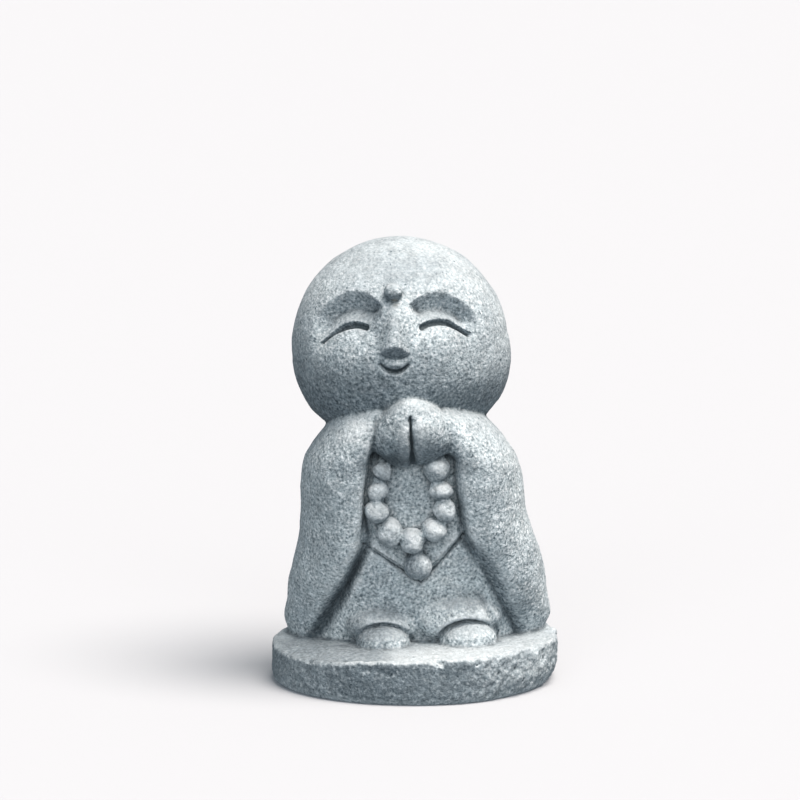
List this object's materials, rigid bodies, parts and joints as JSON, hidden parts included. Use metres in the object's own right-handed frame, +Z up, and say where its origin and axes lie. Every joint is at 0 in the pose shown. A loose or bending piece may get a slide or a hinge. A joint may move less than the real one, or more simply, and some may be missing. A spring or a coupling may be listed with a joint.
{
  "type": "jizo statue",
  "caption": "Small stone jizo figure with a large round head, joined hands, a loop of beads, long sleeves and bare toes, on a low round base.",
  "frame": {"origin": "bottom centre of the base, on the surface it stands on", "axes": "+Z up, the figure faces -Y, +X is the viewer's right when looking at its face"},
  "size_m": [0.034, 0.033, 0.053],
  "materials": {
    "cast_stone": "matt, finely speckled blue-grey cast stone"
  },
  "bodies": {
    "root": {"jizo_statue": "cast_stone"}
  },
  "joints": []
}
